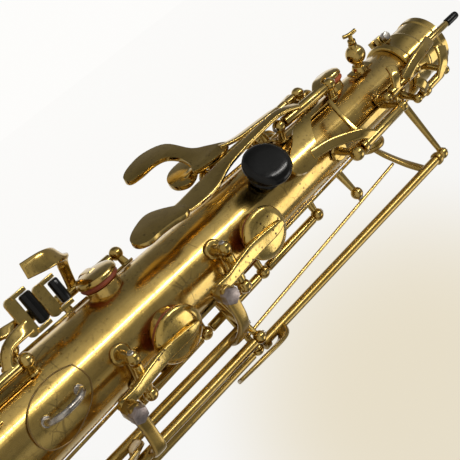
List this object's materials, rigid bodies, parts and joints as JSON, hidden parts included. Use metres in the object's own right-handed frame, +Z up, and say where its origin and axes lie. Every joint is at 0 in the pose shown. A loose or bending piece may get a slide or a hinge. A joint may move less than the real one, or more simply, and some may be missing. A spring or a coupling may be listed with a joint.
{
  "type": "saxophone",
  "caption": "Brass saxophone body without neck: conical tube, bow and bell, strap ring, thumb rest, octave mechanism, palm, side, stack and table keys on hinges.",
  "frame": {"origin": "centre of the eye of the neck-strap ring on the back of the body tube", "axes": "+Z up along the body tube toward the neck receiver; +Y toward the player (the back, with strap ring and thumb rest); -Y toward the bell; the player's left is +X"},
  "size_m": [0.1268, 0.2099, 0.6037],
  "materials": {
    "brass_lacquer": "gloss",
    "brass_key": "gloss",
    "black_plastic": "gloss",
    "pad_leather": "satin",
    "worn_nickel": "satin",
    "steel_screw": "satin"
  },
  "bodies": {
    "instrument_body": {"body_tube": "brass_lacquer", "neck_receiver": "brass_lacquer", "neck_clamp_screw": "steel_screw", "bow": "brass_lacquer", "bow_ring_body": "brass_lacquer", "bow_ring_bell": "brass_lacquer", "bell": "brass_lacquer", "bell_brace": "brass_lacquer", "lyre_holder": "brass_lacquer", "lyre_thumb_screw": "brass_lacquer", "strap_ring": "worn_nickel", "thumb_rest": "black_plastic", "thumb_hook": "brass_lacquer", "palm_key_posts": "brass_lacquer", "side_C_posts": "brass_lacquer", "side_Bb_posts": "brass_lacquer", "side_rod_posts": "brass_lacquer", "side_rod_stay": "brass_lacquer", "upper_stack_posts": "brass_lacquer", "lower_stack_posts": "brass_lacquer", "octave_posts": "brass_lacquer", "octave_link_post": "brass_lacquer", "table_key_posts": "brass_lacquer", "bell_key_posts": "brass_lacquer", "low_key_posts": "brass_lacquer"},
    "palm_F_key_body": {"palm_F_key": "brass_key", "palm_F_pad": "pad_leather"},
    "palm_D_key_body": {"palm_D_key": "brass_key"},
    "palm_Eb_key_body": {"palm_Eb_key": "brass_key"},
    "side_C_cup_body": {"side_C_cup": "brass_key", "side_C_pad": "pad_leather"},
    "side_Bb_cup_body": {"side_Bb_cup": "brass_key", "side_Bb_pad": "pad_leather"},
    "side_C_lever_body": {"side_C_lever": "brass_key"},
    "side_Bb_lever_body": {"side_Bb_lever": "brass_key"},
    "side_E_key_body": {"side_E_key": "brass_key"},
    "upper_B_key_body": {"upper_B_key": "brass_key"},
    "upper_A_key_body": {"upper_A_key": "brass_key"},
    "upper_G_key_body": {"upper_G_key": "brass_key"},
    "lower_F_key_body": {"lower_F_key": "brass_key"},
    "lower_E_key_body": {"lower_E_key": "brass_key"},
    "lower_D_key_body": {"lower_D_key": "brass_key"},
    "low_Eb_key_body": {"low_Eb_key": "brass_key"},
    "low_C_key_body": {"low_C_key": "brass_key"},
    "G_sharp_key_body": {"G_sharp_key": "brass_key", "G_sharp_pad": "pad_leather"},
    "low_C_sharp_key_body": {"low_C_sharp_key": "brass_key"},
    "low_B_lever_body": {"low_B_lever": "brass_key"},
    "low_Bb_lever_body": {"low_Bb_lever": "brass_key"},
    "low_B_bell_key_body": {"low_B_bell_key": "brass_key"},
    "low_Bb_bell_key_body": {"low_Bb_bell_key": "brass_key"},
    "octave_thumb_lever_body": {"octave_thumb_lever": "brass_key"},
    "octave_rocker_body": {"octave_rocker": "brass_key", "octave_pin_sleeve": "black_plastic"},
    "octave_link_key_body": {"octave_link_key": "brass_key"},
    "C_sharp_roller_body": {"C_sharp_roller": "black_plastic"},
    "B_roller_body": {"B_roller": "black_plastic"}
  },
  "joints": [
    {"name": "palm_F_key_hinge", "type": "hinge", "parent": "instrument_body", "child": "palm_F_key_body", "pos_m": [0.02084, -0.01427, 0.1574], "axis": [-0.0351, 0.0061, 0.9994], "range_deg": [0, 8], "stiffness_Nm_per_rad": 0.05, "springref_deg": -20.05},
    {"name": "palm_D_key_hinge", "type": "hinge", "parent": "instrument_body", "child": "palm_D_key_body", "pos_m": [0.02431, -0.02747, 0.1554], "axis": [0, 0, 1], "range_deg": [0, 8], "stiffness_Nm_per_rad": 0.05, "springref_deg": -20.05},
    {"name": "palm_Eb_key_hinge", "type": "hinge", "parent": "instrument_body", "child": "palm_Eb_key_body", "pos_m": [0.02299, -0.03464, 0.1234], "axis": [0, 0, 1], "range_deg": [0, 8], "stiffness_Nm_per_rad": 0.05, "springref_deg": -20.05},
    {"name": "side_C_cup_hinge", "type": "hinge", "parent": "instrument_body", "child": "side_C_cup_body", "pos_m": [0.00185, 0.00109, 0.0907], "axis": [-0.9455, -0.3256, 0], "range_deg": [0, 7]},
    {"name": "side_Bb_cup_hinge", "type": "hinge", "parent": "instrument_body", "child": "side_Bb_cup_body", "pos_m": [-0.00394, 0.00268, 0.0304], "axis": [-0.866, -0.5, 0], "range_deg": [0, 7]},
    {"name": "side_C_lever_hinge", "type": "hinge", "parent": "instrument_body", "child": "side_C_lever_body", "pos_m": [-0.03272, -0.01472, -0.0456], "axis": [0, 0, 1], "range_deg": [-3.5, 0], "stiffness_Nm_per_rad": 0.05, "springref_deg": 20.05},
    {"name": "side_Bb_lever_hinge", "type": "hinge", "parent": "instrument_body", "child": "side_Bb_lever_body", "pos_m": [-0.0395, -0.00939, -0.0453], "axis": [0, 0, 1], "range_deg": [-3.5, 0], "stiffness_Nm_per_rad": 0.05, "springref_deg": 20.05},
    {"name": "side_E_key_hinge", "type": "hinge", "parent": "instrument_body", "child": "side_E_key_body", "pos_m": [-0.04595, -0.01889, 0.2294], "axis": [0, 0, 1], "range_deg": [-6, 0], "stiffness_Nm_per_rad": 0.05, "springref_deg": 20.05},
    {"name": "upper_B_key_hinge", "type": "hinge", "parent": "instrument_body", "child": "upper_B_key_body", "pos_m": [-0.02557, -0.02624, 0.1124], "axis": [0.0272, 0.0009, 0.9996], "range_deg": [0, 5], "stiffness_Nm_per_rad": 0.05, "springref_deg": -20.05},
    {"name": "upper_A_key_hinge", "type": "hinge", "parent": "instrument_body", "child": "upper_A_key_body", "pos_m": [-0.02666, -0.02628, 0.0724], "axis": [0.0272, 0.0009, 0.9996], "range_deg": [0, 5], "stiffness_Nm_per_rad": 0.05, "springref_deg": -20.05},
    {"name": "upper_G_key_hinge", "type": "hinge", "parent": "instrument_body", "child": "upper_G_key_body", "pos_m": [-0.02788, -0.02632, 0.0274], "axis": [0.0272, 0.0009, 0.9996], "range_deg": [0, 4.5], "stiffness_Nm_per_rad": 0.05, "springref_deg": -20.05},
    {"name": "lower_F_key_hinge", "type": "hinge", "parent": "instrument_body", "child": "lower_F_key_body", "pos_m": [-0.0304, -0.02854, -0.0706], "axis": [0.027, 0.0028, 0.9996], "range_deg": [0, 4], "stiffness_Nm_per_rad": 0.05, "springref_deg": -20.05},
    {"name": "lower_E_key_hinge", "type": "hinge", "parent": "instrument_body", "child": "lower_E_key_body", "pos_m": [-0.03175, -0.02868, -0.1206], "axis": [0.027, 0.0028, 0.9996], "range_deg": [0, 4], "stiffness_Nm_per_rad": 0.05, "springref_deg": -20.05},
    {"name": "lower_D_key_hinge", "type": "hinge", "parent": "instrument_body", "child": "lower_D_key_body", "pos_m": [-0.03316, -0.02883, -0.1726], "axis": [0.027, 0.0028, 0.9996], "range_deg": [0, 4], "stiffness_Nm_per_rad": 0.05, "springref_deg": -20.05},
    {"name": "low_Eb_key_hinge", "type": "hinge", "parent": "instrument_body", "child": "low_Eb_key_body", "pos_m": [-0.01425, 0.00665, -0.2346], "axis": [0.0111, -0.0248, 0.9996], "range_deg": [0, 6], "stiffness_Nm_per_rad": 0.05, "springref_deg": -20.05},
    {"name": "low_C_key_hinge", "type": "hinge", "parent": "instrument_body", "child": "low_C_key_body", "pos_m": [-0.02739, -0.00395, -0.2246], "axis": [0.0214, -0.0167, 0.9996], "range_deg": [0, 4], "stiffness_Nm_per_rad": 0.05, "springref_deg": -20.05},
    {"name": "G_sharp_key_hinge", "type": "hinge", "parent": "instrument_body", "child": "G_sharp_key_body", "pos_m": [0.02476, -0.03535, 0.0344], "axis": [-0.0252, 0.0102, 0.9996], "range_deg": [-6, 0], "stiffness_Nm_per_rad": 0.05, "springref_deg": 20.05},
    {"name": "low_C_sharp_key_hinge", "type": "hinge", "parent": "instrument_body", "child": "low_C_sharp_key_body", "pos_m": [0.03204, -0.01369, -0.2186], "axis": [-0.0256, -0.0093, 0.9996], "range_deg": [-6, 0], "stiffness_Nm_per_rad": 0.05, "springref_deg": 20.05},
    {"name": "low_B_lever_hinge", "type": "hinge", "parent": "instrument_body", "child": "low_B_lever_body", "pos_m": [0.02266, -0.00633, -0.0526], "axis": [-0.0208, -0.0175, 0.9996], "range_deg": [-4, 0], "stiffness_Nm_per_rad": 0.05, "springref_deg": 20.05},
    {"name": "low_Bb_lever_hinge", "type": "hinge", "parent": "instrument_body", "child": "low_Bb_lever_body", "pos_m": [0.01699, -0.00015, -0.0826], "axis": [-0.0152, -0.0225, 0.9996], "range_deg": [-4, 0], "stiffness_Nm_per_rad": 0.05, "springref_deg": 20.05},
    {"name": "low_B_bell_key_hinge", "type": "hinge", "parent": "instrument_body", "child": "low_B_bell_key_body", "pos_m": [0.0465, -0.09235, -0.1386], "axis": [0, 0, 1], "range_deg": [-2.4, 0]},
    {"name": "low_Bb_bell_key_hinge", "type": "hinge", "parent": "instrument_body", "child": "low_Bb_bell_key_body", "pos_m": [0.0465, -0.09235, -0.1926], "axis": [0, 0, 1], "range_deg": [-2.4, 0]},
    {"name": "octave_thumb_lever_hinge", "type": "hinge", "parent": "instrument_body", "child": "octave_thumb_lever_body", "pos_m": [-0.00968, -0.00014, 0.1734], "axis": [0.0132, -0.0344, 0.9993], "range_deg": [-5, 0], "stiffness_Nm_per_rad": 0.05, "springref_deg": 20.05},
    {"name": "octave_rocker_hinge", "type": "hinge", "parent": "instrument_body", "child": "octave_rocker_body", "pos_m": [-0.00182, -0.00453, 0.2094], "axis": [0.0024, -0.0279, 0.9996], "range_deg": [0, 8]},
    {"name": "octave_link_key_hinge", "type": "hinge", "parent": "instrument_body", "child": "octave_link_key_body", "pos_m": [-0.0125, -0.00369, 0.2234], "axis": [0.02, -0.0346, 0.9992], "range_deg": [0, 6]},
    {"name": "C_sharp_roller_spin", "type": "hinge", "parent": "low_C_sharp_key_body", "child": "C_sharp_roller_body", "pos_m": [0.0273, -0.01095, 0.0296], "axis": [1, 0, 0], "continuous": true},
    {"name": "B_roller_spin", "type": "hinge", "parent": "low_B_lever_body", "child": "B_roller_body", "pos_m": [0.0273, -0.00975, 0.0174], "axis": [1, 0, 0], "continuous": true}
  ],
  "couplings": [
    {"joint": "side_C_cup_hinge", "follows": "side_C_lever_hinge", "ratio": -2},
    {"joint": "side_Bb_cup_hinge", "follows": "side_Bb_lever_hinge", "ratio": -2},
    {"joint": "octave_rocker_hinge", "follows": "octave_thumb_lever_hinge", "ratio": -1.6},
    {"joint": "octave_link_key_hinge", "follows": "octave_thumb_lever_hinge", "ratio": -1.2},
    {"joint": "low_B_bell_key_hinge", "follows": "low_B_lever_hinge", "ratio": 0.6},
    {"joint": "low_Bb_bell_key_hinge", "follows": "low_Bb_lever_hinge", "ratio": 0.6}
  ]
}
